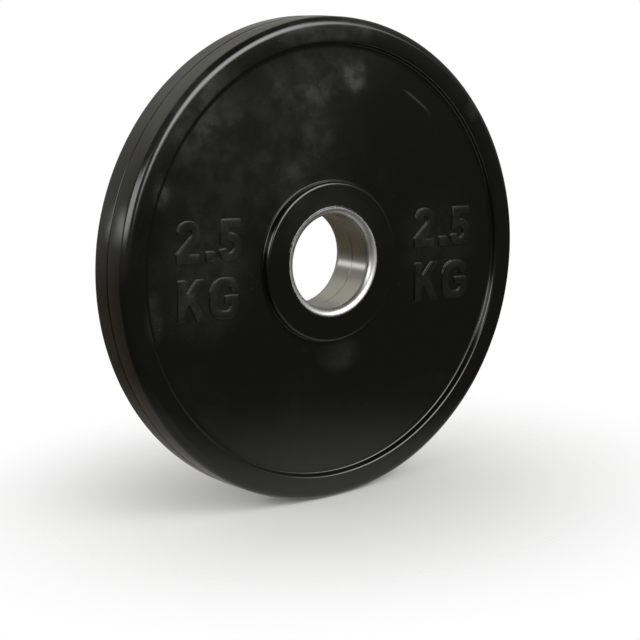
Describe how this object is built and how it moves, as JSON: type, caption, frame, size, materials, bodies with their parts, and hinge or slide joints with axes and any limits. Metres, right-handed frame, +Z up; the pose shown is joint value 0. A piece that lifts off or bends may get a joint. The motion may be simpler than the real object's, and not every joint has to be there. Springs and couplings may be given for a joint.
{
  "type": "olympic weight plate",
  "caption": "Round rubber covered barbell plate with a thick rim, recessed faces, a raised boss and a bore lined by flared steel bushes, standing upright on its rim.",
  "frame": {"origin": "centre of the bore, halfway through the plate's thickness", "axes": "+Y along the bore, towards the rear face; the front face looks towards -Y; +Z up, the plate stands upright on the flat facet of its rim at -Z"},
  "size_m": [0.2596, 0.033, 0.2596],
  "materials": {
    "black_rubber": "satin moulded rubber with light handling marks",
    "core_iron": "plain casting, hidden inside the rubber",
    "turned_steel": "turned bore with a polished lip"
  },
  "bodies": {
    "root": {"front_rubber_cover": "black_rubber", "rear_rubber_cover": "black_rubber", "iron_core": "core_iron", "front_steel_bush": "turned_steel", "rear_steel_bush": "turned_steel"}
  },
  "joints": []
}
